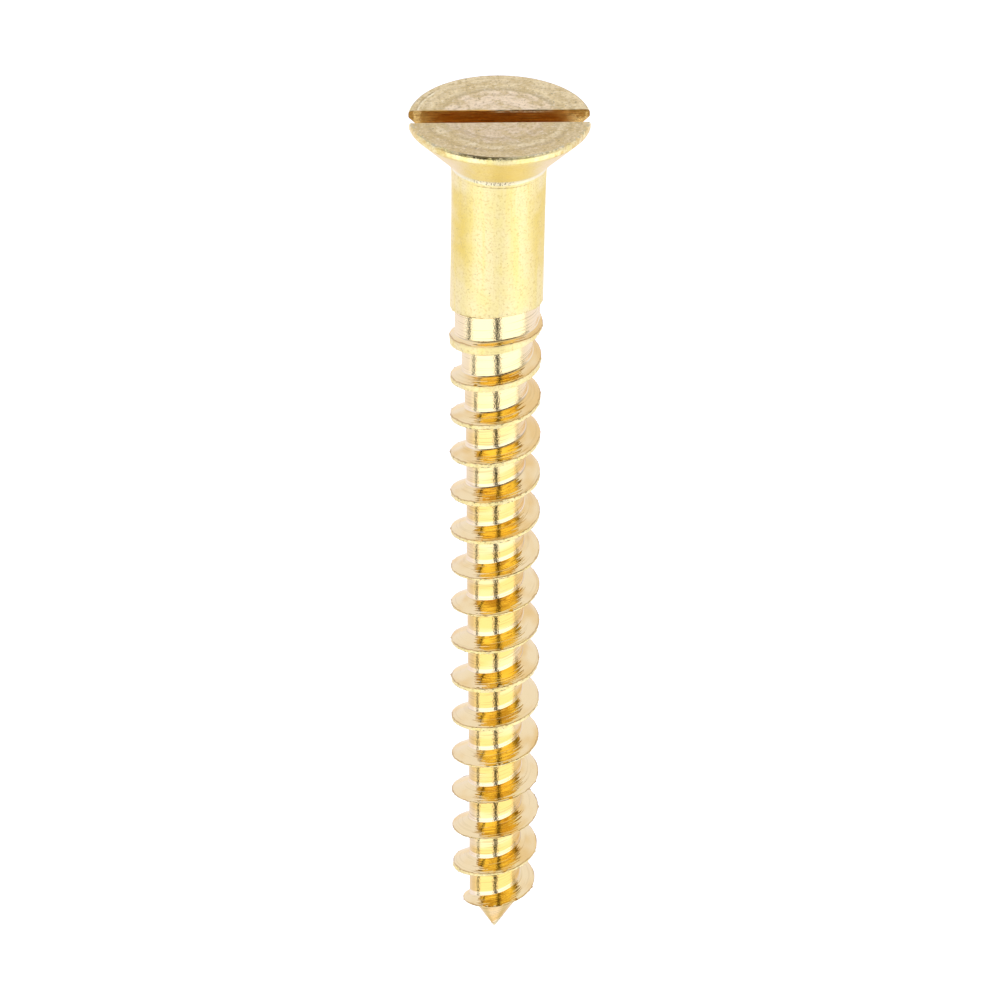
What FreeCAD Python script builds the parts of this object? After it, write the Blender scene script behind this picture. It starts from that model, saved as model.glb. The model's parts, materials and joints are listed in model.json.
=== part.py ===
import FreeCAD, Part
import os
import Sketcher

# Slotted countersunk wood screw, 4 x 40, cut from one piece of brass. Millimetres.
# The origin is the middle of the flat head face. +Z points out of the head along the screw's
# axis, the screw goes down to -Z, and the driver slot runs along X.

NODE = "wood_screw"

# alias: (value, what it measures). A depth is measured down from the head face.
DIMENSIONS = {
    "overall_length": (40.0, "head face to the tip"),
    "head_diameter": (7.84, "across the rim"),
    "rim_height": (0.31, "straight band round the head"),
    "rim_top_round": (0.13, "rounding from the face to the band"),
    "rim_low_round": (0.09, "rounding from the band to the countersink"),
    "countersink_depth": (2.18, "where the 90 degree countersink meets the shank"),
    "neck_diameter": (4.10, "the shank's swelling just under the head"),
    "neck_round": (0.15, "fillet under the head"),
    "shank_diameter": (4.01, "plain shank"),
    "swelling_depth": (4.0, "where the swelling has run out into the plain shank"),
    "shank_depth": (8.85, "end of the plain shank"),
    "entry_diameter": (3.57, "bottom of the groove where the cutter enters"),
    "entry_depth": (9.05, "foot of the bevel below the shank"),
    "entry_low_depth": (9.90, "where the groove starts to deepen"),
    "second_turn_diameter": (2.93, "bottom of the groove's second turn"),
    "second_turn_depth": (11.40, "middle of that turn"),
    "third_turn_diameter": (2.66, "bottom of the groove's third turn"),
    "third_turn_depth": (13.20, "middle of that turn"),
    "core_diameter": (2.50, "bottom of the full groove"),
    "core_depth": (16.0, "where the groove is full"),
    "core_low_diameter": (2.18, "core just above the point"),
    "core_low_depth": (38.0, "where the core stops tapering"),
    "stock_depth": (41.5, "spare stock below the tip, turned away with the point"),
    "crest_diameter": (3.86, "over the thread"),
    "crest_land": (0.17, "flat left on top of the thread"),
    "buried_diameter": (1.60, "the thread ridge reaches this far into the core"),
    "buried_width": (1.58, "the ridge's width there, for flanks at 32 degrees"),
    "pitch": (1.858, "single start, right hand"),
    "thread_turns": (18.0, "from below the tip up to inside the shank"),
    "thread_start_depth": (41.41, "the ridge's middle on the +X side where the sweep starts"),
    "point_flat_diameter": (0.06, "blunt end of the tip"),
    "point_cone_diameter": (1.564, "top of the cone point"),
    "point_cone_depth": (38.82, "top of the cone point, for 32.5 degrees from the axis"),
    "last_crest_diameter": (2.62, "foot of the last crest, above the cone"),
    "last_crest_depth": (38.55, "foot of the last crest"),
    "shoulder_low_diameter": (3.32, "lower end of the shoulder"),
    "shoulder_low_depth": (38.10, "lower end of the shoulder"),
    "shoulder_diameter": (3.60, "middle of the rounded shoulder above the cone"),
    "shoulder_depth": (37.40, "middle of that shoulder"),
    "shoulder_start_depth": (36.30, "where the crests start to come in"),
    "turning_diameter": (4.60, "clear of the thread, for turning the point"),
    "turning_depth": (43.0, "clear of the stock, for turning the point"),
    "slot_width": (1.12, "driver slot"),
    "slot_depth": (1.15, "driver slot"),
    "slot_travel": (10.0, "length of the saw cut, past the rim at both ends"),
}
SHEET = "dimensions"
SAME_RING = 1e-4  # two rings nearer than this are one ring

# Numbers that the sketcher gives to a line's ends and to its own axes.
START, END = 1, 2
LEVEL_AXIS, UPRIGHT_AXIS = -1, -2


def value(alias):
    return DIMENSIONS[alias][0]


def cell(alias):
    """The expression that reads one cell of the sheet."""
    return f"{SHEET}.{alias}"


def half(alias):
    """A coordinate half a diameter or a width from the middle."""
    return (alias, 0.5)


def minus_half(alias):
    """The same on the other side."""
    return (alias, -0.5)


def depth(alias):
    """A coordinate that far below the head face."""
    return (alias, -1.0)


def make_sheet(doc):
    """The driving dimensions, one named cell each."""
    sheet = doc.addObject("Spreadsheet::Sheet", SHEET)
    for row, (alias, (number, meaning)) in enumerate(DIMENSIONS.items(), start=1):
        sheet.set(f"A{row}", alias)
        sheet.set(f"B{row}", str(number))
        sheet.setAlias(f"B{row}", alias)
        sheet.set(f"C{row}", meaning)
    doc.recompute()


def origin_plane(body, role):
    """One of the body's own origin planes."""
    return next(item for item in body.Origin.OriginFeatures if item.Role == role)


def outline_sketch(body, name, role, corners):
    """A closed outline of straight lines whose corners follow the sheet.

    A corner is (label, x, y). Each coordinate is (alias, factor), or None on that axis.
    """
    sketch = body.newObject("Sketcher::SketchObject", name)
    sketch.AttachmentSupport = [(origin_plane(body, role), "")]
    sketch.MapMode = "FlatFace"
    points = [FreeCAD.Vector(place(x), place(y), 0) for _, x, y in corners]
    for start, end in zip(points, points[1:] + points[:1]):
        sketch.addGeometry(Part.LineSegment(start, end), False)
    for line in range(len(corners)):
        following = (line + 1) % len(corners)
        sketch.addConstraint(Sketcher.Constraint("Coincident", line, END, following, START))
    for line, (label, x, y) in enumerate(corners):
        fix_coordinate(sketch, line, f"{label}_x", "DistanceX", x, UPRIGHT_AXIS)
        fix_coordinate(sketch, line, f"{label}_y", "DistanceY", y, LEVEL_AXIS)
    return sketch


def place(coordinate):
    """The number a coordinate starts from."""
    if coordinate is None:
        return 0.0
    alias, factor = coordinate
    return value(alias) * factor


def fix_coordinate(sketch, line, name, kind, coordinate, axis):
    """Ties one coordinate of a line's start to the sheet, or puts it on the sketch's axis."""
    if coordinate is None:
        sketch.addConstraint(Sketcher.Constraint("PointOnObject", line, START, axis))
        return
    alias, factor = coordinate
    constraint = Sketcher.Constraint(kind, LEVEL_AXIS, START, line, START, place(coordinate))
    number = sketch.addConstraint(constraint)
    sketch.renameConstraint(number, name)
    sketch.setExpression(f"Constraints.{name}", f"{cell(alias)} * {factor}")


def turned(body, kind, name, section):
    """A full turn of a section about the screw's axis: added by a Revolution, cut by a Groove."""
    feature = body.newObject(kind, name)
    feature.Profile = section
    feature.ReferenceAxis = (section, ["V_Axis"])
    feature.Angle = 360.0
    body.Document.recompute()
    return feature


def round_ring(body, name, base, rounding, diameter, ring_depth):
    """Rounds the ring of edges of that diameter at that depth."""
    edges = []
    for number, edge in enumerate(base.Shape.Edges, start=1):
        if not isinstance(edge.Curve, Part.Circle):
            continue
        radius_gap = abs(edge.Curve.Radius - diameter / 2)
        depth_gap = abs(edge.Curve.Center.z + ring_depth)
        if max(radius_gap, depth_gap) < SAME_RING:
            edges.append(f"Edge{number}")
    if not edges:
        raise RuntimeError(f"{name}: the ring to round isn't there")
    fillet = body.newObject("PartDesign::Fillet", name)
    fillet.Base = (base, edges)
    fillet.setExpression("Radius", cell(rounding))
    body.Document.recompute()
    return fillet


def make_blank(body):
    """The headed blank with its shank and core turned, and spare stock below the tip."""
    section = outline_sketch(body, "blank_section", "XZ_Plane", [
        ("face_middle", None, None),
        ("face_rim", half("head_diameter"), None),
        ("rim_low", half("head_diameter"), depth("rim_height")),
        ("neck", half("neck_diameter"), depth("countersink_depth")),
        ("swelling", half("shank_diameter"), depth("swelling_depth")),
        ("shank", half("shank_diameter"), depth("shank_depth")),
        ("entry", half("entry_diameter"), depth("entry_depth")),
        ("entry_low", half("entry_diameter"), depth("entry_low_depth")),
        ("second_turn", half("second_turn_diameter"), depth("second_turn_depth")),
        ("third_turn", half("third_turn_diameter"), depth("third_turn_depth")),
        ("core", half("core_diameter"), depth("core_depth")),
        ("core_low", half("core_low_diameter"), depth("core_low_depth")),
        ("stock", half("core_low_diameter"), depth("stock_depth")),
        ("stock_middle", None, depth("stock_depth")),
    ])
    blank = turned(body, "PartDesign::Revolution", "blank", section)
    rim = value("head_diameter")
    top = round_ring(body, "rim_top_rounding", blank, "rim_top_round", rim, 0.0)
    low = round_ring(body, "rim_low_rounding", top, "rim_low_round", rim, value("rim_height"))
    neck = value("neck_diameter")
    return round_ring(body, "neck_rounding", low, "neck_round", neck, value("countersink_depth"))


def make_thread(body):
    """The thread ridge, swept up from below the tip until it is inside the shank."""
    section = outline_sketch(body, "thread_section", "XZ_Plane", [
        ("crest_up", half("crest_diameter"), half("crest_land")),
        ("buried_up", half("buried_diameter"), half("buried_width")),
        ("buried_low", half("buried_diameter"), minus_half("buried_width")),
        ("crest_low", half("crest_diameter"), minus_half("crest_land")),
    ])
    section.setExpression("AttachmentOffset.Base.y", f"-1 * {cell('thread_start_depth')}")
    thread = body.newObject("PartDesign::AdditiveHelix", "thread")
    thread.Profile = section
    thread.ReferenceAxis = (section, ["V_Axis"])
    thread.Mode = "pitch-turns-angle"
    thread.LeftHanded = False
    thread.Reversed = False
    thread.setExpression("Pitch", cell("pitch"))
    thread.setExpression("Turns", cell("thread_turns"))
    body.Document.recompute()
    return thread


def make_point(body):
    """The point, turned after the thread, so that the thread runs out on its cone."""
    section = outline_sketch(body, "point_section", "XZ_Plane", [
        ("axis_low", None, depth("turning_depth")),
        ("outer_low", half("turning_diameter"), depth("turning_depth")),
        ("outer_up", half("turning_diameter"), depth("shoulder_start_depth")),
        ("shoulder_start", half("crest_diameter"), depth("shoulder_start_depth")),
        ("shoulder", half("shoulder_diameter"), depth("shoulder_depth")),
        ("shoulder_low", half("shoulder_low_diameter"), depth("shoulder_low_depth")),
        ("last_crest", half("last_crest_diameter"), depth("last_crest_depth")),
        ("cone_top", half("point_cone_diameter"), depth("point_cone_depth")),
        ("tip_flat", half("point_flat_diameter"), depth("overall_length")),
        ("tip", None, depth("overall_length")),
    ])
    return turned(body, "PartDesign::Groove", "point", section)


def make_slot(body):
    """The driver slot, sawn right across the head."""
    section = outline_sketch(body, "slot_section", "XY_Plane", [
        ("back_right", half("slot_travel"), half("slot_width")),
        ("back_left", minus_half("slot_travel"), half("slot_width")),
        ("front_left", minus_half("slot_travel"), minus_half("slot_width")),
        ("front_right", half("slot_travel"), minus_half("slot_width")),
    ])
    slot = body.newObject("PartDesign::Pocket", "driver_slot")
    slot.Profile = section
    slot.Type = "Length"
    slot.setExpression("Length", cell("slot_depth"))
    body.Document.recompute()
    return slot


def make_screw(doc):
    """The whole screw: blank, thread, point and slot, in the order they are made."""
    body = doc.addObject("PartDesign::Body", NODE)
    body.Label = NODE
    body.Placement = FreeCAD.Placement()
    blank = make_blank(body).Shape.Volume
    threaded = make_thread(body).Shape.Volume
    pointed = make_point(body).Shape.Volume
    slotted = make_slot(body).Shape.Volume
    print(f"mm3 after blank {blank:.2f}, thread {threaded:.2f}, point {pointed:.2f}, slot {slotted:.2f}")
    if not blank < threaded:
        raise RuntimeError("the thread added nothing")
    if not slotted < pointed < threaded:
        raise RuntimeError("the point or the slot cut nothing")
    return body


def check_document(doc, body):
    """Stops before anything is written if any object failed."""
    for item in doc.Objects:
        if "Invalid" in item.State or "Error" in item.State:
            raise RuntimeError(f"{item.Name} failed: {item.State}")
    if body.Shape.isNull() or not body.Shape.isValid():
        raise RuntimeError(f"{body.Label} has no valid shape")
    if len(body.Shape.Solids) != 1:
        raise RuntimeError(f"{body.Label} holds {len(body.Shape.Solids)} solids")


def main():
    doc = FreeCAD.newDocument("slotted_wood_screw")
    make_sheet(doc)
    body = make_screw(doc)
    doc.recompute()
    check_document(doc, body)
    os.makedirs("parts", exist_ok=True)
    body.Shape.exportStep(f"parts/{body.Label}.step")
    box = body.Shape.optimalBoundingBox()
    print(f"{body.Label}: x {box.XMin:.3f} {box.XMax:.3f}, y {box.YMin:.3f} {box.YMax:.3f},",
          f"z {box.ZMin:.3f} {box.ZMax:.3f}")


main()
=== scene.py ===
import json
import math

import bpy
import numpy as np
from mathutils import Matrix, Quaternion, Vector


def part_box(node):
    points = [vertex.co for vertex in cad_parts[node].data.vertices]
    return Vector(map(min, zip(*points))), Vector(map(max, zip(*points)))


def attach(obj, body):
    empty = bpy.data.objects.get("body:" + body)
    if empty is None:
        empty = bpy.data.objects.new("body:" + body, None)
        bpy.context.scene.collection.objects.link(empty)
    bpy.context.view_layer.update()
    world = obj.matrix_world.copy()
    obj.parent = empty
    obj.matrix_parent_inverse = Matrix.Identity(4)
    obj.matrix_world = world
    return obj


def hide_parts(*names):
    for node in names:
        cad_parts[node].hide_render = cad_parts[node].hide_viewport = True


# The looks of a slotted countersunk brass wood screw. One finely meshed screw stands for the CAD
# node. Sizes are in millimetres and depths are measured down from the flat head face.

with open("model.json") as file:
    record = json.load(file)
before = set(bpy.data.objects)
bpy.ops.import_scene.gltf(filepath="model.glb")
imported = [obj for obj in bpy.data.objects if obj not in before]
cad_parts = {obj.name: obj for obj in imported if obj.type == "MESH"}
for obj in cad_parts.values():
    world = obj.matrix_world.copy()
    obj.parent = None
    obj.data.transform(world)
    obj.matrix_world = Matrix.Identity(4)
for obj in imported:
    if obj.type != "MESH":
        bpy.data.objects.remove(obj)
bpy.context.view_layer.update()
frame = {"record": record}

MM = 0.001
TURN = 2 * math.pi
NODE = "wood_screw"
node_low, node_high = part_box(NODE)
mounts = {mount["name"]: mount for mount in frame["record"]["mounts"]}

LENGTH = (node_high.z - node_low.z) / MM
HEAD_RADIUS = (node_high.y - node_low.y) / 2 / MM
SHANK_RADIUS = mounts["shank"]["dims"]["r_mm"]
BEND = 0.1  # the axis strays this far to -X where the thread starts

# Head
RIM_TOP_ROUND = 0.13
RIM_LOW_ROUND = 0.09
RIM_HEIGHT = 0.31
SLOT_HALF_WIDTH = 0.56
SLOT_DEPTH = 1.15
SLOT_BEVEL = 0.03
SLOT_RAGGED = 0.008  # the slot's edges wander by about this much

# Neck and shank, as (depth, radius)
NECK_DEPTH = 2.06
NECK = [(2.10, 2.135), (2.16, 2.108), (2.30, 2.085), (2.38, 2.078), (2.41, 2.052), (2.50, 2.047),
        (2.8, 2.040)]
BLANK = [(3.2, 2.029), (5.0, 2.012), (8.0, SHANK_RADIUS), (10.6, SHANK_RADIUS), (11.7, 1.952),
         (33.8, 1.888), (35.8, 1.84), (37.3, 1.80), (38.1, 1.66), (38.55, 1.31)]

# Point
POINT_DEPTH = 38.82
POINT_SLOPE = math.tan(math.radians(32.5))
TIP_RADIUS = 0.03

# The groove's way down the screw. Turns are counted down from its first pass on the -X side.
PITCH = 1.8545
FIRST_GROOVE_DEPTH = 9.87
ENTRY_DEPTH = 9.37
ENTRY_START = math.radians(352)
ENTRY_END = math.radians(395)
GROOVE_TURNS = 16.3
THREAD_ANGLE = math.radians(1.8)  # the thread's start is turned this far against the slot
LEAN = 0.007
START_DROP = 0.05
WANDER = 0.085
WANDER_PERIOD = 6.0
WANDER_PHASE = 8.2
WANDER_MIDDLE = 9
WANDER_SPREAD = 5.5
LAST_DROP = 0.12
LAST_DROP_TURNS = (14.78, 15.0)

# The groove's bottom
CORE_RADIUS = 1.24
RUN_IN = 0.545  # how much shallower the first pass is
RUN_IN_RATE = 0.9
CORE_TAPER = 0.016  # per turn, from the seventh turn on
TAPER_START = 6.0
ENTRY_RISE = 0.3
EXIT_RISE = 0.9
EXIT_TURNS = 0.25
UPPER_ROOT = 0.40  # from the groove's middle to the root's upper corner
LOWER_ROOT = 0.47
START_WIDTH = 0.25  # the root is wider upwards by this much in the first pass
ENTRY_NARROWING = 0.6
LAND_WIDTH = 0.15  # and by this share of the groove's depth
LAST_WIDTH = 0.46  # and by this much in the last pass
LAST_WIDTH_TURNS = (15.0, 16.0)

# The groove's flanks and corners
LOWER_FLANK = math.tan(math.radians(29.5))
UPPER_FLANK = math.tan(math.radians(26))
FILLET = 0.02  # in the first passes, where the cutter's corner is round
SHARP_FILLET = 0.003
SHARPENING_TURNS = (3.6, 5.4)
POINT_ROUND = 0.03
EDGE_BEVEL = 0.012
EDGE_ROUGHNESS = 0.012
BURR_HEIGHT = 0.05
BURR_LEVEL = 0.45

# Mesh
COLUMNS = 216
GAP_COLUMNS = 14  # in the slot's mouth, on each side
FACE_RINGS = 15
HELIX_TOP = 8.05
HELIX_BOTTOM = 39.84
GROOVE_ROWS = 21  # the rows of groove_rows and the land's middle
UNDERSIDE_END = 5  # the last row of the groove's upper flank
FLANK_START = 15  # the first row of its lower flank
LABEL_END = 10**6  # label of the plain rings above and below the thread
SHARP_ANGLE = math.radians(24)

TIERS = ("face", "slot", "skin", "cut")


def smoothstep(low, high, x):
    share = np.clip((x - low) / (high - low), 0.0, 1.0)
    return share * share * (3 - 2 * share)


def soft_least(a, b, softness):
    """The smaller of a and b, rounded over where they cross."""
    return -softness * np.logaddexp(-a / softness, -b / softness)


def soft_most(a, b, softness):
    """The larger of a and b, rounded over where they cross."""
    return softness * np.logaddexp(a / softness, b / softness)


def smooth_noise(rng, count, width):
    """Random values from about -1 to 1, smoothed over that many samples."""
    raw = rng.standard_normal(count + 6 * width)
    kernel = np.exp(-0.5 * (np.arange(-3 * width, 3 * width + 1) / width) ** 2)
    kernel /= np.sqrt((kernel**2).sum())
    return np.convolve(raw, kernel, mode="valid")[:count] * 0.5


# ---- shape of the screw ----

def bow(depth):
    """How far the screw's axis is from straight, along X."""
    shank = smoothstep(0.0, 13.0, depth)
    thread = 1 - smoothstep(10.0, 38.0, depth)
    return -BEND * shank * thread


def point_cone(depth):
    return (LENGTH - depth) * POINT_SLOPE + TIP_RADIUS


def blank_radius(depth):
    """The screw before its thread is cut, from the shank down to the tip."""
    depths, radii = zip(*BLANK, (POINT_DEPTH, point_cone(POINT_DEPTH)))
    return np.where(depth > POINT_DEPTH, point_cone(depth), np.interp(depth, depths, radii))


def turns_down(angle):
    """Turns from the groove's first pass on the -X side, counted down the screw."""
    return (math.pi - angle) / TURN


def groove_depth(angle):
    """Depth of the groove's middle at that unwrapped angle, which falls as the groove goes down."""
    turns = turns_down(angle)
    down = np.maximum(turns, 0.0)
    strength = WANDER * np.exp(-(((turns - WANDER_MIDDLE) / WANDER_SPREAD) ** 2))
    wander = START_DROP * np.exp(-down)
    wander = wander - strength * np.cos(TURN * (turns - WANDER_PHASE) / WANDER_PERIOD)
    wander = wander - LEAN * down * np.sin(angle)
    wander = wander + LAST_DROP * smoothstep(*LAST_DROP_TURNS, turns)
    return soft_most(FIRST_GROOVE_DEPTH + PITCH * turns + wander, ENTRY_DEPTH, 0.04)


def root_radius(angle):
    """Radius of the groove's bottom. The cutter enters gently and is at full depth after four turns."""
    turns = turns_down(angle)
    run_in = RUN_IN * np.exp(-RUN_IN_RATE * np.maximum(turns, 0.0))
    taper = CORE_TAPER * np.maximum(turns - TAPER_START, 0.0)
    entry = ENTRY_RISE * smoothstep(ENTRY_START, ENTRY_END, angle)
    exit_rise = EXIT_RISE * smoothstep(GROOVE_TURNS - EXIT_TURNS, GROOVE_TURNS, turns)
    return CORE_RADIUS + run_in - taper + entry + exit_rise


def extra_width(angle):
    """How much wider the groove's bottom is on its upper side, most of all in the first pass."""
    turns = turns_down(angle)
    entry = 1 - ENTRY_NARROWING * smoothstep(1.5 * math.pi, TURN, angle)
    start = START_WIDTH * np.exp(-np.maximum(turns, 0.0)) * entry
    land = LAND_WIDTH * (SHANK_RADIUS - root_radius(angle))
    return start + land + LAST_WIDTH * smoothstep(*LAST_WIDTH_TURNS, turns)


def cutter_radius(angle, offset):
    """Radius left by the cutter at that offset down from the groove's middle."""
    upper = offset < 0
    half_width = np.where(upper, UPPER_ROOT + extra_width(angle), LOWER_ROOT)
    early = 1 - smoothstep(*SHARPENING_TURNS, turns_down(angle))
    fillet = SHARP_FILLET + (FILLET - SHARP_FILLET) * early
    beyond = fillet * np.logaddexp((np.abs(offset) - half_width) / fillet, 0.0)
    point = point_cone(groove_depth(angle) + offset)
    root = soft_least(root_radius(angle), point, POINT_ROUND)
    return root + beyond / np.where(upper, UPPER_FLANK, LOWER_FLANK)


def groove_edge(angle, far):
    """Offset at which the groove meets the blank, going from its upper root corner towards far."""
    start = np.full_like(angle, -UPPER_ROOT)
    near, away = start, start + far
    middle = groove_depth(angle)
    for _ in range(40):
        half = (near + away) / 2
        cutting = blank_radius(middle + half) > cutter_radius(angle, half)
        near = np.where(cutting, half, near)
        away = np.where(cutting, away, half)
    return (near + away) / 2


def row_offsets(angle, upper, lower):
    """Offsets of the groove's rows from its middle, from its upper edge to its lower one."""
    up_corner = UPPER_ROOT + extra_width(angle)
    up_run = -upper - up_corner
    low_run = lower - LOWER_ROOT
    underside = [
        upper,
        upper + 2 * EDGE_BEVEL,
        -up_corner - 0.66 * up_run,
        -up_corner - 0.33 * up_run,
        -up_corner - 0.02,
        -up_corner,
        -up_corner + 0.02,
    ]
    places = [-LOWER_ROOT + 0.13, -0.12, 0.12, LOWER_ROOT - 0.13]
    places += [LOWER_ROOT + step for step in (-0.05, -0.02, 0.0, 0.02, 0.05)]
    root = [np.full_like(angle, place) for place in places]
    flank = [
        LOWER_ROOT + 0.5 * low_run,
        lower - 0.045,
        lower - EDGE_BEVEL,
        lower + EDGE_BEVEL,
    ]
    offsets = np.array(underside + root + flank)
    offsets[1:-1] = np.clip(offsets[1:-1], upper + EDGE_BEVEL, lower - EDGE_BEVEL)
    for row in range(1, len(offsets)):
        offsets[row] = np.maximum(offsets[row], offsets[row - 1] + 0.003)
    return offsets


def groove_rows(angle, edge_noise, burr):
    """Depths and radii of the rows of one pass of the groove, from land to land, for each angle.

    Returns (depths, radii), both rows by angles, and leaves out the land's middle row.
    """
    upper = groove_edge(angle, -1.0) + edge_noise[0]
    lower = groove_edge(angle, 1.9) + edge_noise[1]
    middle = groove_depth(angle)
    depths = middle + row_offsets(angle, upper, lower)
    lowest = HELIX_BOTTOM - 0.04 + 0.0018 * np.arange(len(depths))
    depths = np.minimum(depths, lowest[:, None])
    radii = np.minimum(blank_radius(depths), cutter_radius(angle, depths - middle))
    radii[0] += burr[0]
    radii[-1] += burr[1]
    return depths, radii


# ---- mesh ----

class Skin:
    """Vertices and faces of the screw's surface, with what its materials need to know."""

    def __init__(self):
        self.points = []
        self.around = []
        self.across = []
        self.edge = []
        self.flank = []
        self.faces = []
        self.tiers = []

    def point(self, x, y, depth, around=0.0, across=0.0, edge=0.0, flank=0.0):
        self.points.append(((x + float(bow(depth))) * MM, y * MM, -depth * MM))
        self.around.append(around)
        self.across.append(across)
        self.edge.append(edge)
        self.flank.append(flank)
        return len(self.points) - 1

    def ring(self, depth, radius):
        """A level ring, from angle zero on."""
        angles = TURN * np.arange(COLUMNS) / COLUMNS
        return [self.point(radius * math.cos(a), radius * math.sin(a), depth, a) for a in angles]

    def face(self, tier, *corners):
        distinct = [c for i, c in enumerate(corners) if c != corners[i - 1]]
        if len(set(distinct)) > 2:
            self.faces.append(distinct)
            self.tiers.append(TIERS.index(tier))

    def strip(self, tier, upper, lower):
        """Quads between two rows of vertices, seen from outside with the columns going right."""
        for column in range(len(upper) - 1):
            self.face(tier, upper[column], lower[column], lower[column + 1], upper[column + 1])

    def closed_strip(self, tier, upper, lower):
        self.strip(tier, upper + upper[:1], lower + lower[:1])


def cone_radius(depth):
    """The 90 degree countersink."""
    return HEAD_RADIUS - (depth - RIM_HEIGHT)


def rim_profile():
    """(depth, radius) down the side of the head, from the face's edge to the slot's floor."""
    profile = []
    for angle in np.radians(np.linspace(0, 90, 9)):
        profile.append((RIM_TOP_ROUND * (1 - math.cos(angle)),
                        HEAD_RADIUS - RIM_TOP_ROUND * (1 - math.sin(angle))))
    cut = RIM_LOW_ROUND * math.tan(math.radians(22.5))
    start = RIM_HEIGHT - cut
    profile.append(((RIM_TOP_ROUND + start) / 2, HEAD_RADIUS))
    for angle in np.radians(np.linspace(0, 45, 5)):
        profile.append((start + RIM_LOW_ROUND * math.sin(angle),
                        HEAD_RADIUS - RIM_LOW_ROUND * (1 - math.cos(angle))))
    for depth in np.linspace(RIM_HEIGHT + cut, SLOT_DEPTH, 6)[1:]:
        profile.append((depth, cone_radius(depth)))
    return profile


def half_head(skin, profile, turn, bevel_noise):
    """One of the two halves above the slot's floor: face, rim, cone and slot wall.

    turn is 0 for the half behind the slot and half a turn for the half in front of it. Returns
    the lowest row on the cone and the lowest row on the slot's wall, both with rising angle.
    """
    sign = 1 if turn == 0 else -1
    count = COLUMNS // 2 - GAP_COLUMNS
    share = np.arange(count + 1) / count
    cone_rows = []
    for depth, radius in profile:
        first = math.asin(SLOT_HALF_WIDTH / radius)
        angles = first + (math.pi - 2 * first) * share
        row = [skin.point(sign * radius * math.cos(a), sign * radius * math.sin(a), depth, a + turn)
               for a in angles]
        cone_rows.append((row, angles, radius))
    for upper, lower in zip(cone_rows, cone_rows[1:]):
        skin.strip("skin", upper[0], lower[0])
    inner_edge = face_rings(skin, cone_rows[0], sign, bevel_noise)
    lowest_wall = slot_wall(skin, cone_rows, profile, inner_edge, sign, bevel_noise)
    return cone_rows[-1][0], lowest_wall


def face_rings(skin, rim, sign, bevel_noise):
    """Half of the flat face, from its rim to the slot's bevel. Returns the row at the bevel."""
    rim_row, rim_angles, rim_radius = rim
    rows = [rim_row]
    for level in np.linspace(0, 1, FACE_RINGS)[1:]:
        row = [rim_row[0]]
        for column in range(1, len(rim_row) - 1):
            reach = rim_radius * math.sin(rim_angles[column])
            edge = SLOT_HALF_WIDTH + SLOT_BEVEL + bevel_noise[column]
            y = reach + (min(edge, reach) - reach) * level
            x = rim_radius * math.cos(rim_angles[column])
            row.append(skin.point(sign * x, sign * y, 0.0))
        row.append(rim_row[-1])
        rows.append(row)
    for outer, inner in zip(rows, rows[1:]):
        skin.strip("face", inner, outer)
    return rows[-1]


def slot_wall(skin, cone_rows, profile, edge_row, sign, bevel_noise):
    """One wall of the slot with the bevel at its top. Returns its lowest row."""
    rows = [edge_row]
    for (cone_row, angles, radius), (depth, _) in zip(cone_rows[1:], profile[1:]):
        row = [cone_row[0]]
        for column in range(1, len(cone_row) - 1):
            bevel = (SLOT_BEVEL + bevel_noise[column]) * max(0.0, 1 - depth / SLOT_BEVEL)
            x = radius * math.cos(angles[column])
            row.append(skin.point(sign * x, sign * (SLOT_HALF_WIDTH + bevel), depth))
        row.append(cone_row[-1])
        rows.append(row)
    for upper, lower in zip(rows, rows[1:]):
        skin.strip("slot", lower, upper)
    return rows[-1]


def slot_floor(skin, depth, radius, back_wall, front_wall):
    """The slot's floor, from wall to wall. Returns its rows."""
    count = COLUMNS // 2 - GAP_COLUMNS
    first = math.asin(SLOT_HALF_WIDTH / radius)
    rows = [back_wall]
    for level in range(1, GAP_COLUMNS):
        angle = first - 2 * first * level / GAP_COLUMNS
        y = radius * math.sin(angle)
        reach = radius * math.cos(angle)
        row = []
        for column in range(count + 1):
            share = math.cos(first + (math.pi - 2 * first) * column / count) / math.cos(first)
            around = angle if share > 0 else math.pi - angle
            row.append(skin.point(reach * share, y, depth, around))
        rows.append(row)
    rows.append(front_wall[::-1])
    for back_row, front_row in zip(rows, rows[1:]):
        skin.strip("slot", front_row, back_row)
    return rows


def head(skin, rng):
    """The slotted head down to the slot's floor. Returns its lowest ring, from angle zero on."""
    profile = rim_profile()
    count = COLUMNS // 2 - GAP_COLUMNS
    noise = SLOT_RAGGED * smooth_noise(rng, 2 * count + 2, 2)
    back, back_wall = half_head(skin, profile, 0.0, noise[:count + 1])
    front, front_wall = half_head(skin, profile, math.pi, noise[count + 1:])
    floor_rows = slot_floor(skin, *profile[-1], back_wall, front_wall)
    right_gap = [row[0] for row in floor_rows]
    left_gap = [row[-1] for row in floor_rows]
    half_gap = GAP_COLUMNS // 2
    return right_gap[half_gap:0:-1] + back + left_gap[1:-1] + front + right_gap[-2:half_gap:-1]


def neck_and_shank(skin, ring):
    """Rings from the slot's floor down to where the helical rows start."""
    profile = [(depth, cone_radius(depth)) for depth in np.linspace(SLOT_DEPTH, NECK_DEPTH, 6)[1:]]
    profile += NECK
    profile += [(depth, float(blank_radius(depth))) for depth in np.arange(3.2, HELIX_TOP, 0.35)]
    profile.append((HELIX_TOP, float(blank_radius(HELIX_TOP))))
    for depth, radius in profile:
        row = skin.ring(depth, radius)
        skin.closed_strip("skin", ring, row)
        ring = row
    return ring


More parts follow.
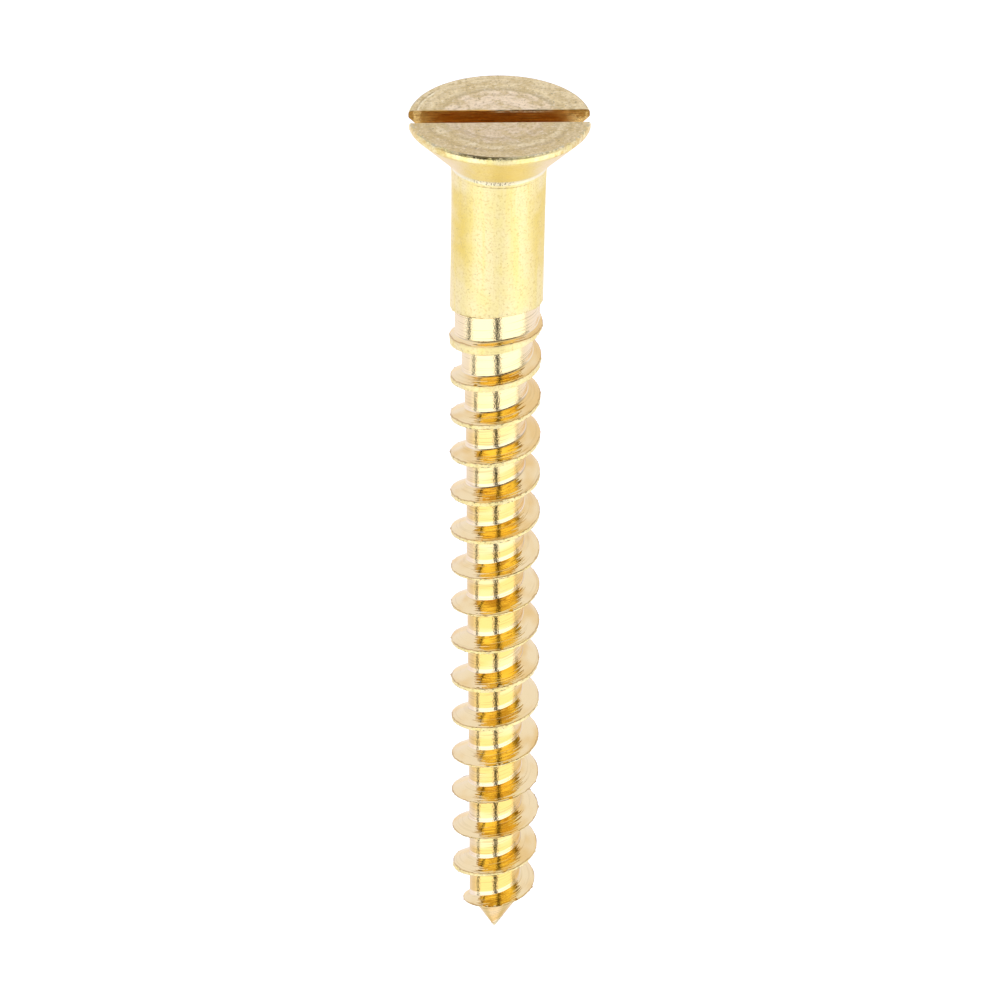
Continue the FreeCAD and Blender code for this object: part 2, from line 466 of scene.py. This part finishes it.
def helix(skin, top, rng):
    """The threaded part: rows that follow the groove, joined to a ring above and one below."""
    passes = int(GROOVE_TURNS) + 2
    steps = COLUMNS * (passes + 3)
    noise = [EDGE_ROUGHNESS * smooth_noise(rng, steps, 4) + EDGE_ROUGHNESS * smooth_noise(rng, steps, 1)
             for _ in range(2)]
    burr = [BURR_HEIGHT * np.maximum(smooth_noise(rng, steps, 1) - BURR_LEVEL, 0.0)
            for _ in range(2)]
    columns = []
    for column in range(COLUMNS):
        theta = TURN * column / COLUMNS
        numbers = np.arange(-1, passes)
        angle = theta + THREAD_ANGLE - TURN * numbers
        step = np.round((angle / TURN + passes) * COLUMNS).astype(int)
        depths, radii = groove_rows(angle, [n[step] for n in noise], [b[step] for b in burr])
        chain = [(-LABEL_END, top[column])]
        chain += column_points(skin, theta, numbers, angle, depths, radii)
        columns.append(chain)
    bottom = skin.ring(HELIX_BOTTOM, float(blank_radius(HELIX_BOTTOM)))
    for chain, vertex in zip(columns, bottom):
        chain.append((LABEL_END, vertex))
    for left, right in zip(columns, columns[1:]):
        zip_columns(skin, left, right)
    zip_columns(skin, columns[-1], [next_pass(item) for item in columns[0]])
    return bottom


def column_points(skin, theta, numbers, angle, depths, radii):
    """(label, vertex) down one column of the threaded part, through every pass of the groove."""
    chain = []
    for place, number in enumerate(numbers):
        if angle[place] > ENTRY_END or turns_down(angle[place]) > GROOVE_TURNS:
            continue
        above = depths[-1][place - 1] if chain else depths[0][place] - 0.5
        middle = (above + depths[0][place]) / 2
        centre = float(groove_depth(angle[place]))
        rows = [(middle, float(blank_radius(middle)), 0.0)]
        rows += [(depth[place], radius[place], depth[place] - centre)
                 for depth, radius in zip(depths, radii)]
        for row, (depth, radius, across) in enumerate(rows):
            x, y = radius * math.cos(theta), radius * math.sin(theta)
            edge = 1.0 if row >= GROOVE_ROWS - 2 else 0.6 * (row == 1)
            flank = 1.0 if row >= FLANK_START else -1.0 * (0 < row <= UNDERSIDE_END)
            vertex = skin.point(x, y, depth, angle[place], across, edge, flank)
            chain.append((number * GROOVE_ROWS + row, vertex))
    return chain


def next_pass(item):
    """The same vertex, labelled as the column one turn on sees it."""
    label, vertex = item
    return (label, vertex) if abs(label) == LABEL_END else (label + GROOVE_ROWS, vertex)


def row_tier(label):
    """The land between two grooves keeps the blank's skin, and the groove is freshly cut."""
    row = label % GROOVE_ROWS
    return "skin" if abs(label) == LABEL_END or row in (0, GROOVE_ROWS - 1) else "cut"


def zip_columns(skin, left, right):
    """Joins two columns of labelled vertices: quads where the labels match, fans where they don't."""
    left_labels = {label for label, _ in left}
    right_labels = {label for label, _ in right}
    i = j = 0
    while i < len(left) - 1 or j < len(right) - 1:
        a, b = left[i][1], right[j][1]
        next_left = left[i + 1] if i < len(left) - 1 else None
        next_right = right[j + 1] if j < len(right) - 1 else None
        if next_left and next_right and next_left[0] == next_right[0]:
            skin.face(row_tier(left[i][0]), a, next_left[1], next_right[1], b)
            i, j = i + 1, j + 1
        elif next_left and next_left[0] not in right_labels:
            skin.face("skin", a, next_left[1], b)
            i += 1
        elif next_right and next_right[0] not in left_labels:
            skin.face("skin", a, next_right[1], b)
            j += 1
        else:
            raise RuntimeError("the thread's columns don't match")


def tip(skin, ring):
    """Rings down the cone point to its blunt end."""
    for depth in np.linspace(HELIX_BOTTOM, LENGTH, 4)[1:-1]:
        row = skin.ring(depth, float(blank_radius(depth)))
        skin.closed_strip("skin", ring, row)
        ring = row
    end = skin.point(0.0, 0.0, LENGTH)
    for column in range(COLUMNS):
        skin.face("skin", ring[column], end, ring[(column + 1) % COLUMNS])


def build_screw():
    skin = Skin()
    rng = np.random.default_rng(7)
    ring = head(skin, rng)
    ring = neck_and_shank(skin, ring)
    ring = helix(skin, ring, rng)
    tip(skin, ring)
    mesh = bpy.data.meshes.new("brass_screw")
    mesh.from_pydata(skin.points, [], skin.faces)
    mesh.update()
    mesh.polygons.foreach_set("material_index", skin.tiers)
    for name in ("around", "across", "edge", "flank"):
        values = getattr(skin, name)
        mesh.attributes.new(name, "FLOAT", "POINT").data.foreach_set("value", values)
    mesh.shade_smooth()
    mesh.set_sharp_from_angle(angle=SHARP_ANGLE)
    screw = bpy.data.objects.new("brass_screw", mesh)
    bpy.context.scene.collection.objects.link(screw)
    return screw


# ---- materials ----

class Nodes:
    """Short calls for building one node tree. Values are sockets or plain numbers."""

    def __init__(self, tree):
        self.tree = tree
        tree.nodes.clear()

    def new(self, kind, **settings):
        node = self.tree.nodes.new(kind)
        for name, value in settings.items():
            setattr(node, name, value)
        return node

    def put(self, socket, value):
        if isinstance(value, bpy.types.NodeSocket):
            self.tree.links.new(value, socket)
        else:
            socket.default_value = value

    def math(self, operation, a, b=0.0, clamp=False):
        node = self.new("ShaderNodeMath", operation=operation, use_clamp=clamp)
        self.put(node.inputs[0], a)
        self.put(node.inputs[1], b)
        return node.outputs[0]

    def plus(self, a, b):
        return self.math("ADD", a, b)

    def times(self, first, *others):
        """The product of two or more values."""
        for other in others:
            first = self.math("MULTIPLY", first, other)
        return first

    def away(self, value, centre=0.0):
        """How far value is from centre."""
        return self.math("ABSOLUTE", self.math("SUBTRACT", value, centre))

    def ramp(self, value, low, high, to_low=0.0, to_high=1.0):
        """A smooth step from to_low at low to to_high at high."""
        node = self.new("ShaderNodeMapRange", interpolation_type="SMOOTHSTEP")
        for name, given in zip(("Value", "From Min", "From Max", "To Min", "To Max"),
                               (value, low, high, to_low, to_high)):
            self.put(node.inputs[name], given)
        return node.outputs[0]

    def fade(self, value, low, high, strength=1.0):
        """A smooth step from that strength at low to nothing at high."""
        return self.ramp(value, low, high, strength, 0.0)

    def mix(self, share, a, b):
        """Colour a where share is 0 and b where it is 1."""
        node = self.new("ShaderNodeMix", data_type="RGBA")
        self.put(node.inputs[0], share)
        for socket, color in ((node.inputs[6], a), (node.inputs[7], b)):
            self.put(socket, (*color, 1.0) if isinstance(color, tuple) else color)
        return node.outputs[2]

    def millimetres(self):
        """Position on the screw in millimetres."""
        node = self.new("ShaderNodeVectorMath", operation="SCALE")
        self.put(node.inputs[0], self.new("ShaderNodeTexCoord").outputs["Object"])
        self.put(node.inputs["Scale"], 1 / MM)
        return node.outputs[0]

    def split(self, vector):
        node = self.new("ShaderNodeSeparateXYZ")
        self.put(node.inputs[0], vector)
        return node.outputs

    def combine(self, x, y, z=0.0):
        node = self.new("ShaderNodeCombineXYZ")
        for socket, value in zip(node.inputs, (x, y, z)):
            self.put(socket, value)
        return node.outputs[0]

    def stretched(self, x, y, z, factors):
        """A position scaled by its own factor along each axis."""
        return self.combine(*(self.times(value, factor)
                              for value, factor in zip((x, y, z), factors)))

    def attribute(self, name):
        return self.new("ShaderNodeAttribute", attribute_name=name).outputs["Fac"]

    def noise(self, vector, scale, detail=2.0, roughness=0.5):
        node = self.new("ShaderNodeTexNoise")
        for name, given in (("Vector", vector), ("Scale", scale), ("Detail", detail),
                            ("Roughness", roughness)):
            self.put(node.inputs[name], given)
        return node.outputs["Fac"]

    def pits(self, place, scale, threshold):
        """1 in small sparse pits and specks of dirt, 0 elsewhere."""
        return self.ramp(self.noise(place, scale, 1.0), threshold, threshold + 0.06)

    def bump(self, height, millimetres, normal=None):
        node = self.new("ShaderNodeBump")
        self.put(node.inputs["Height"], height)
        self.put(node.inputs["Distance"], millimetres * MM)
        if normal is not None:
            self.put(node.inputs["Normal"], normal)
        return node.outputs[0]


def brass(name, build):
    """A metal whose colour, roughness and normal come from build(nodes)."""
    material = bpy.data.materials.new(name)
    material.use_nodes = True
    nodes = Nodes(material.node_tree)
    shader = nodes.new("ShaderNodeBsdfPrincipled")
    output = nodes.new("ShaderNodeOutputMaterial")
    nodes.put(output.inputs["Surface"], shader.outputs["BSDF"])
    shader.inputs["Metallic"].default_value = 1.0
    color, roughness, normal = build(nodes)
    nodes.put(shader.inputs["Base Color"], color)
    nodes.put(shader.inputs["Roughness"], roughness)
    nodes.put(shader.inputs["Normal"], normal)
    return material


# Faint turning rings on the face, painted as rings of shade and highlight, as (radius, half width,
# strength, half of the face, colour). A half is where along Y it starts and ends, and its strength at
# those two places.
BACK = (0.6, 1.2, 0.0, 1.0)
FRONT = (-1.2, -0.6, 1.0, 0.0)
RING_SHADE_AND_HIGHLIGHT = [
    (2.66, 0.10, 0.45, BACK, (0.42, 0.31, 0.12)),
    (3.02, 0.16, 0.45, FRONT, (1.0, 0.86, 0.48)),
    (3.34, 0.08, 0.35, FRONT, (0.46, 0.33, 0.12)),
    (2.30, 0.14, 0.30, FRONT, (0.46, 0.34, 0.16)),
]
MIDDLE_RADIUS = (2.45, 3.0)  # where the face's pinker middle fades out
CRESCENT_ANGLE = 2.69
CRESCENT_RADIUS = 3.58
CRESCENT_SHADOW_RADIUS = 3.67


def face_brass(nodes):
    """The flat face: matt, with faint turning rings painted as shade and highlight, a front half
    darkened with painted shade, a pinker middle, scratches and pits.
    """
    place = nodes.millimetres()
    x, y, _ = nodes.split(place)
    radius = nodes.math("SQRT", nodes.plus(nodes.math("POWER", x, 2.0), nodes.math("POWER", y, 2.0)))
    wobble = nodes.noise(place, 0.9, 3.0, 0.6)
    ring_radius = nodes.plus(radius, nodes.times(wobble, 0.7))
    rings = nodes.noise(nodes.combine(ring_radius, 0.0), 2.4, 2.0, 0.6)
    grain = nodes.noise(place, 6.5, 4.0, 0.75)
    outer = nodes.ramp(ring_radius, *MIDDLE_RADIUS)
    color = nodes.mix(outer, (1.0, 0.81, 0.48), (0.95, 0.78, 0.38))
    # the front half of the face darkened with painted shade
    color = nodes.mix(nodes.fade(y, -0.2, 0.2, 0.38), color, (0.52, 0.37, 0.13))
    # a darker band towards the edge and noisy dark rings, painted shade of the faint turned dish
    band = nodes.times(outer, nodes.fade(ring_radius, 2.8, 3.4))
    color = nodes.mix(nodes.times(band, 0.4), color, (0.50, 0.39, 0.17))
    color = nodes.mix(nodes.ramp(rings, 0.42, 0.62, 0.0, 0.45), color, (0.56, 0.42, 0.18))
    color = painted_ring_shading(nodes, color, nodes.plus(radius, nodes.times(wobble, 0.35)), y)
    blotches = nodes.noise(place, 1.3, 3.0, 0.6)
    color = nodes.mix(nodes.ramp(blotches, 0.42, 0.62, 0.0, 0.7), color, (0.66, 0.49, 0.17))
    color = nodes.mix(nodes.ramp(grain, 0.50, 0.66, 0.0, 0.7), color, (0.44, 0.31, 0.11))
    color = nodes.mix(nodes.fade(grain, 0.34, 0.46, 0.5), color, (1.0, 0.91, 0.62))
    line_radius = nodes.plus(radius, nodes.times(wobble, 0.12))
    color = crescent(nodes, color, place, nodes.math("ARCTAN2", y, x), line_radius)
    color = nodes.mix(nodes.times(nodes.pits(place, 5.0, 0.71), 0.6), color, (0.12, 0.08, 0.03))
    normal = nodes.bump(grain, 0.03)
    normal = nodes.bump(rings, 0.02, normal)
    return color, 0.36, normal


def painted_ring_shading(nodes, color, radius, y):
    for centre, half_width, strength, half, tone in RING_SHADE_AND_HIGHLIGHT:
        line = nodes.fade(nodes.away(radius, centre), 0.4 * half_width, 1.6 * half_width, strength)
        color = nodes.mix(nodes.times(line, nodes.ramp(y, *half)), color, tone)
    return color


def crescent(nodes, color, place, angle, radius):
    """A tool's mark near the face's edge: a painted highlight line with a painted shadow line outside
    it.
    """
    broken = nodes.ramp(nodes.noise(place, 4.0, 2.0), 0.35, 0.6, 0.3, 1.0)
    stretch = nodes.times(nodes.fade(nodes.away(angle, CRESCENT_ANGLE), 0.22, 0.38), broken)
    bright = nodes.fade(nodes.away(radius, CRESCENT_RADIUS), 0.02, 0.06, 0.8)
    shadow = nodes.fade(nodes.away(radius, CRESCENT_SHADOW_RADIUS), 0.02, 0.05, 0.5)
    color = nodes.mix(nodes.times(bright, stretch), color, (1.0, 0.90, 0.55))
    return nodes.mix(nodes.times(shadow, stretch), color, (0.30, 0.20, 0.06))


SLOT_BURR_X = 1.0


def slot_brass(nodes):
    """The saw cut: dark, with marks along it and lighter, mottled ends."""
    place = nodes.millimetres()
    x, y, z = nodes.split(place)
    lines = nodes.noise(nodes.stretched(x, y, z, (0.25, 9.0, 9.0)), 1.6, 3.0, 0.7)
    color = nodes.mix(nodes.ramp(lines, 0.3, 0.7), (0.86, 0.50, 0.12), (0.44, 0.20, 0.03))
    ends = nodes.ramp(nodes.away(x), 2.3, 3.6, 0.0, 0.75)
    patches = nodes.ramp(nodes.noise(place, 2.6, 2.0, 0.6), 0.42, 0.58)
    color = nodes.mix(ends, color, nodes.mix(patches, (0.93, 0.68, 0.30), (0.50, 0.29, 0.08)))
    # a burr along part of the edge, painted as a shadow line with a highlight line under it
    broken = nodes.ramp(nodes.noise(place, 3.0, 2.0), 0.36, 0.5, 0.4, 1.0)
    stretch = nodes.times(nodes.fade(nodes.away(x, SLOT_BURR_X), 0.9, 1.5), broken)
    burr = nodes.times(nodes.ramp(z, -0.13, -0.10), stretch)
    color = nodes.mix(burr, color, (1.0, 0.92, 0.70))
    shadow = nodes.times(nodes.ramp(z, -0.045, -0.035, 0.0, 0.9), stretch)
    color = nodes.mix(shadow, color, (0.20, 0.12, 0.03))
    return color, 0.24, nodes.bump(lines, 0.05)


SHANK_REFLECTIONS = [(-1.68, 1.0), (1.75, 0.9)]  # painted reflections on the shank, as (x, strength)
RIM_SHADE_X = -0.75
RICH_CONE_X = 0.35
NECK_FOOT_Z = -2.40
NECK_TOP = (-2.06, -2.02)
NECK_BOTTOM = (-2.30, -2.24)
NECK_TICKS_X = -0.35


def skin_brass(nodes):
    """The blank's tumbled skin on the rim, cone, shank and crests: satin with fine speckle."""
    place = nodes.millimetres()
    x, y, z = nodes.split(place)
    speckle = nodes.noise(place, 10.0, 2.0, 0.6)
    cloud = nodes.noise(place, 1.1, 3.0, 0.6)
    color = nodes.mix(nodes.ramp(cloud, 0.35, 0.7), (1.0, 0.89, 0.56), (0.98, 0.87, 0.46))
    drawn = nodes.noise(nodes.stretched(x, y, z, (2.2, 2.2, 0.12)), 1.0, 3.0, 0.6)
    color = nodes.mix(nodes.ramp(drawn, 0.45, 0.7, 0.0, 0.6), color, (0.98, 0.84, 0.30))
    color = shank_reflection_bands(nodes, color, x, y, z, cloud)
    color = nodes.mix(nodes.ramp(speckle, 0.48, 0.72, 0.0, 0.6), color, (0.80, 0.63, 0.25))
    color = nodes.mix(nodes.times(nodes.pits(place, 8.0, 0.72), 0.3), color, (0.22, 0.15, 0.05))
    color = nodes.mix(nodes.fade(z, -38.6, -38.3, 0.8), color, (0.90, 0.84, 0.66))
    color = crest_edges(nodes, color, place, z)
    color = rim_shade_and_dirt(nodes, color, place, x, y, z)
    color = rim_mottle_and_cone_reflections(nodes, color, place, x, z)
    color = neck_highlight_and_shade(nodes, color, place, x, y, z)
    roughness = nodes.ramp(z, -2.3, -2.1, 0.56, 0.38)
    normal = nodes.bump(speckle, 0.02)
    normal = nodes.bump(nodes.noise(place, 3.0, 2.0), 0.01, normal)
    return color, roughness, normal


def shank_reflection_bands(nodes, color, x, y, z, cloud):
    """Two upright golden bands on the near side of the plain shank, painted reflections."""
    for centre, strength in SHANK_REFLECTIONS:
        reflection_band = nodes.times(
            nodes.fade(nodes.away(x, centre), 0.0, 0.8, strength),
            nodes.fade(y, -0.6, 0.0),
            nodes.fade(z, -3.4, -2.7),
            nodes.ramp(z, -8.0, -5.5),
            nodes.ramp(cloud, 0.25, 0.65, 0.5, 1.0))
        color = nodes.mix(reflection_band, color, (0.93, 0.75, 0.22))
    return color


def crest_edges(nodes, color, place, z):
    """Darker edges of the thread's crest as painted shade, with specks of burr that are strongest lower
    down.
    """
    edge = nodes.attribute("edge")
    dark = nodes.times(nodes.math("POWER", edge, 4.0), 0.5)
    color = nodes.mix(dark, color, (0.50, 0.30, 0.10))
    specks = nodes.ramp(nodes.noise(place, 8.0, 1.0), 0.56, 0.64)
    lower = nodes.ramp(z, -12.8, -12.2, 0.65, 0.1)
    burrs = nodes.times(specks, nodes.ramp(edge, 0.1, 0.5), lower)
    return nodes.mix(burrs, color, (0.24, 0.17, 0.06))


def rim_shade_and_dirt(nodes, color, place, x, y, z):
    """Painted shade in a dark line where the face meets the rim, most of all in one stretch on the near
    side, with specks of dirt there.
    """
    stretch = nodes.times(nodes.fade(nodes.away(x, RIM_SHADE_X), 0.4, 1.6), nodes.fade(y, -3.0, -1.5))
    ragged = nodes.plus(z, nodes.ramp(nodes.noise(place, 7.0, 3.0), 0.35, 0.65, -0.03, 0.03))
    ragged = nodes.plus(ragged, nodes.times(stretch, 0.02))
    strength = nodes.ramp(stretch, 0.0, 1.0, 0.45, 1.0)
    rim_shade = nodes.times(nodes.ramp(ragged, -0.045, -0.02), strength, 0.9)
    color = nodes.mix(rim_shade, color, (0.10, 0.07, 0.02))
    specks = nodes.ramp(nodes.noise(place, 11.0, 2.0), 0.54, 0.62)
    specks = nodes.times(specks, nodes.ramp(z, -0.20, -0.08), stretch, 0.7)
    return nodes.mix(specks, color, (0.14, 0.10, 0.03))


def rim_mottle_and_cone_reflections(nodes, color, place, x, z):
    """The rim is mottled at its sides. The cone is paler at its sides and richer in the middle, both
    painted reflections.
    """
    off_middle = nodes.away(x)
    mottle = nodes.times(
        nodes.ramp(nodes.noise(place, 4.0, 3.0, 0.7), 0.42, 0.62),
        nodes.ramp(off_middle, 1.2, 2.6),
        nodes.ramp(z, -0.5, -0.35, 0.0, 0.75))
    color = nodes.mix(mottle, color, (0.80, 0.58, 0.20))
    on_cone = nodes.times(nodes.fade(z, -0.50, -0.40), nodes.ramp(z, -2.2, -2.0))
    pale = nodes.times(on_cone, nodes.ramp(off_middle, 0.8, 2.2, 0.0, 0.6))
    color = nodes.mix(pale, color, (1.0, 0.86, 0.74))
    rich = nodes.times(on_cone, nodes.fade(nodes.away(x, RICH_CONE_X), 0.2, 1.4, 0.55))
    return nodes.mix(rich, color, (0.90, 0.72, 0.24))


def neck_highlight_and_shade(nodes, color, place, x, y, z):
    """The narrow neck has a painted highlight, with a fine line of painted shade at its foot and dark
    ticks of painted reflection on its near side.
    """
    foot = nodes.times(
        nodes.fade(nodes.away(z, NECK_FOOT_Z), 0.015, 0.05),
        nodes.ramp(nodes.away(x), 0.9, 1.5, 0.5, 0.1),
        nodes.ramp(nodes.noise(place, 5.0, 2.0), 0.4, 0.6, 0.4, 1.0))
    color = nodes.mix(foot, color, (0.42, 0.28, 0.06))
    neck = nodes.times(nodes.ramp(z, *NECK_BOTTOM), nodes.fade(z, *NECK_TOP))
    color = nodes.mix(nodes.times(neck, 0.7), color, (1.0, 0.97, 0.84))
    near_side = nodes.times(nodes.ramp(nodes.away(x, NECK_TICKS_X), 0.4, 1.1, 1.0, 0.1),
                            nodes.ramp(y, -1.4, -0.6, 1.0, 0.1))
    upright = nodes.noise(nodes.stretched(x, y, z, (9.0, 9.0, 1.6)), 1.2, 1.0)
    neck_shade_ticks = nodes.times(
        nodes.ramp(upright, 0.46, 0.54),
        nodes.ramp(nodes.noise(place, 16.0, 2.0), 0.44, 0.56),
        neck,
        near_side,
        0.8)
    return nodes.mix(neck_shade_ticks, color, (0.20, 0.15, 0.05))


def cut_brass(nodes):
    """The thread's cut faces: bright, with fine tool marks that follow the helix."""
    place = nodes.millimetres()
    x, _, z = nodes.split(place)
    along = nodes.attribute("around")
    across = nodes.attribute("across")
    marks = nodes.combine(nodes.times(across, 9.0), nodes.times(along, 0.35))
    lines = nodes.noise(marks, 1.7, 1.0, 0.6)
    scratches = nodes.ramp(lines, 0.56, 0.66)
    flank = nodes.attribute("flank")
    on_underside = nodes.fade(flank, -0.9, -0.1)
    on_flank = nodes.ramp(flank, 0.1, 0.9)

    color = nodes.mix(on_flank, root_color(nodes, along, across, z),
                      flank_color(nodes, along, across, x, z))
    color = nodes.mix(on_underside, color, underside_color(nodes, across, lines))
    dull = nodes.mix(0.6, color, (0.34, 0.19, 0.03))
    scratched = nodes.times(scratches, nodes.ramp(on_flank, 0.0, 1.0, 0.5, 0.15))
    color = nodes.mix(scratched, color, dull)
    color = nodes.mix(corner_shade(nodes, across, x, z), color, (0.26, 0.14, 0.03))
    # the crest's edges darkened with painted shade
    edge = nodes.times(nodes.math("POWER", nodes.attribute("edge"), 5.0), 0.6)
    color = nodes.mix(edge, color, (0.46, 0.26, 0.08))

    height = nodes.plus(lines, nodes.times(scratches, -0.3))
    height = nodes.times(height, nodes.ramp(on_flank, 0.0, 1.0, 0.3, 1.0))
    normal = nodes.bump(height, 0.015)
    speckle = nodes.noise(place, 15.0, 2.0, 0.6)
    grit = nodes.times(speckle, nodes.ramp(on_flank, 0.0, 1.0, 1.0, 0.25))
    normal = nodes.bump(grit, 0.008, normal)
    return color, 0.055, normal


def root_color(nodes, along, across, z):
    """Pale in the first turns, then golden in places, with a pale strip beside the lower corner."""
    tone = nodes.noise(nodes.combine(nodes.times(along, 0.25), across), 1.0, 2.0)
    golden = nodes.mix(nodes.ramp(tone, 0.34, 0.57), (0.86, 0.69, 0.39), (0.83, 0.58, 0.20))
    golden = nodes.mix(nodes.ramp(across, 0.24, 0.32), golden, (0.95, 0.80, 0.54))
    return nodes.mix(nodes.ramp(z, -17.0, -10.5), golden, (0.93, 0.78, 0.47))


def flank_color(nodes, along, across, x, z):
    """Deeper gold in patches, most of all on the +X side of the first turns, where it is painted shade.
    """
    streaks = nodes.combine(nodes.times(along, 0.7), nodes.times(across, 1.4))
    gold_patches = nodes.noise(streaks, 1.0, 2.0, 0.6)
    # painted shade on the +X side of the first turns
    right = nodes.times(nodes.ramp(x, 0.5, 1.5, 0.0, 0.14), nodes.ramp(z, -22.0, -17.0))
    share = nodes.ramp(nodes.plus(gold_patches, right), 0.46, 0.68, 0.0, 0.8)
    return nodes.mix(share, (0.95, 0.76, 0.38), (0.86, 0.57, 0.18))


def underside_color(nodes, across, lines):
    """Deep golden as painted shade under the crest, with dark lines along it and darker towards the
    crest.
    """
    color = nodes.mix(nodes.ramp(lines, 0.45, 0.64), (0.82, 0.58, 0.10), (0.40, 0.22, 0.02))
    return nodes.mix(nodes.fade(across, -0.80, -0.68, 0.5), color, (0.30, 0.15, 0.01))


def corner_shade(nodes, across, x, z):
    """Painted shade in the root's lower corner, in the first turns."""
    line = nodes.fade(nodes.away(across, LOWER_ROOT), 0.01, 0.04, 0.55)
    return nodes.times(line, nodes.ramp(z, -19.0, -17.0), nodes.fade(nodes.away(x, 0.2), 0.75, 1.15))


def screw_materials():
    """One for each tier of faces, in their order."""
    builders = (face_brass, slot_brass, skin_brass, cut_brass)
    return [brass(f"{tier}_brass", build) for tier, build in zip(TIERS, builders)]


# ---- studio ----

WHITE = (1.0, 1.0, 1.0)
BLACK = (0.0, 0.0, 0.0)
# Gaps in the tent, as (azimuth, half width, strength) with angles in degrees
GAPS = [(3.0, 8.0, 1.0), (-81.0, 5.5, 1.0), (91.0, 5.0, 0.3)]
HOOD_AZIMUTH = -9.0
PATCH_AZIMUTH = 84.0
DARKEST = 0.95

CAMERA_ELEVATION = math.radians(28.8)
CAMERA_ROLL = math.radians(0.38)
CAMERA_DISTANCE = 16 * LENGTH * MM
FRAME_WIDTH = 1.0813 * LENGTH * MM
AIM = Vector((0.128 * MM, 0.0, node_low.z / 2 + 1.32 * MM))
SENSOR_WIDTH = 36
FLOOR_SIZE = 3.0
FLOOR_GAP = 25 * MM  # between the floor and the screw's point


def make_world():
    """A white tent round the screw, with dark gaps, seen only in its reflections."""
    world = bpy.data.worlds.new("white_tent")
    world.use_nodes = True
    bpy.context.scene.world = world
    nodes = Nodes(world.node_tree)
    x, y, z = nodes.split(nodes.new("ShaderNodeTexCoord").outputs["Generated"])
    azimuth = nodes.times(nodes.math("ARCTAN2", x, nodes.times(y, -1.0)), 180 / math.pi)
    azimuth = nodes.plus(azimuth, math.degrees(THREAD_ANGLE))
    tent = nodes.mix(nodes.times(dark_parts(nodes, azimuth, z), DARKEST),
                     tent_color(nodes, azimuth, z), BLACK)
    camera = nodes.new("ShaderNodeLightPath").outputs["Is Camera Ray"]
    background = nodes.new("ShaderNodeBackground")
    nodes.put(background.inputs["Color"], nodes.mix(camera, tent, WHITE))
    output = nodes.new("ShaderNodeOutputWorld")
    nodes.put(output.inputs["Surface"], background.outputs[0])


def dark_parts(nodes, azimuth, z):
    """1 in the tent's dark parts: gaps below the horizon, a hood in front and a patch on the right.

    The azimuth is in degrees to the right of the front, and z is the height on a unit sphere.
    """
    dark = 0.0
    for centre, half_width, strength in GAPS:
        gap = nodes.fade(nodes.away(azimuth, centre), 0.85 * half_width, 1.2 * half_width, strength)
        gap = nodes.times(gap, nodes.fade(z, -0.1, 0.1))
        dark = nodes.math("ADD", dark, gap, clamp=True)
    hood = nodes.times(
        nodes.fade(nodes.away(azimuth, HOOD_AZIMUTH), 65.0, 69.0),
        nodes.ramp(z, 0.22, 0.30),
        nodes.fade(z, 0.72, 0.80))
    low_right = nodes.times(
        nodes.fade(nodes.away(azimuth, PATCH_AZIMUTH), 11.0, 15.0, 0.5),
        nodes.ramp(z, -0.42, -0.36),
        nodes.fade(z, -0.04, 0.04))
    dark = nodes.math("ADD", dark, hood, clamp=True)
    return nodes.math("ADD", dark, low_right, clamp=True)


def tent_color(nodes, azimuth, z):
    """The tent's light: brightest in front below the horizon, cooler at the sides."""
    off_front = nodes.away(azimuth)
    side = nodes.ramp(off_front, 80.0, 105.0)
    behind = nodes.ramp(off_front, 130.0, 165.0)
    above = nodes.mix(side, (0.90, 0.88, 0.86), (0.93, 0.94, 1.20))
    lower = nodes.mix(side, (1.55, 1.55, 1.50), (1.00, 0.97, 1.12))
    lower = nodes.mix(behind, lower, (0.98, 0.90, 0.86))
    lower = nodes.mix(nodes.fade(z, -0.85, -0.70), lower, (0.86, 0.78, 0.60))
    lower = nodes.mix(nodes.fade(z, -0.98, -0.92), lower, (1.20, 1.12, 1.10))
    return nodes.mix(nodes.fade(z, -0.15, 0.1), above, lower)


def make_floor():
    """A plain white floor under the screw, which doesn't show in its reflections."""
    bpy.ops.mesh.primitive_plane_add(size=FLOOR_SIZE, location=(0, 0, node_low.z - FLOOR_GAP))
    floor = bpy.context.object
    floor.name = "floor"
    material = bpy.data.materials.new("floor_white")
    material.use_nodes = True
    shader = material.node_tree.nodes["Principled BSDF"]
    shader.inputs["Base Color"].default_value = (0.95, 0.95, 0.95, 1)
    shader.inputs["Roughness"].default_value = 0.9
    shader.inputs["Emission Color"].default_value = (*WHITE, 1)
    shader.inputs["Emission Strength"].default_value = 0.5
    floor.data.materials.append(material)
    floor.visible_glossy = False
    floor.visible_diffuse = False
    floor.visible_shadow = False


def make_camera():
    """Seen from in front and above, from far away, so that there is almost no perspective."""
    camera_data = bpy.data.cameras.new("camera")
    camera_data.sensor_width = SENSOR_WIDTH
    camera_data.lens = SENSOR_WIDTH * CAMERA_DISTANCE / FRAME_WIDTH
    camera_data.clip_start = CAMERA_DISTANCE * 0.01
    camera_data.clip_end = CAMERA_DISTANCE * 100
    camera = bpy.data.objects.new("camera", camera_data)
    bpy.context.scene.collection.objects.link(camera)
    level = math.cos(CAMERA_ELEVATION)
    away = Vector((-level * math.sin(THREAD_ANGLE), -level * math.cos(THREAD_ANGLE),
                   math.sin(CAMERA_ELEVATION)))
    camera.location = AIM + away * CAMERA_DISTANCE
    roll = Quaternion((0.0, 0.0, 1.0), CAMERA_ROLL)
    camera.rotation_mode = "QUATERNION"
    camera.rotation_quaternion = (-away).to_track_quat("-Z", "Y") @ roll
    bpy.context.scene.camera = camera


screw = build_screw()
for material in screw_materials():
    screw.data.materials.append(material)
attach(screw, "root")
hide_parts(NODE)

make_world()
make_floor()
make_camera()
bpy.context.scene.view_settings.view_transform = "Standard"
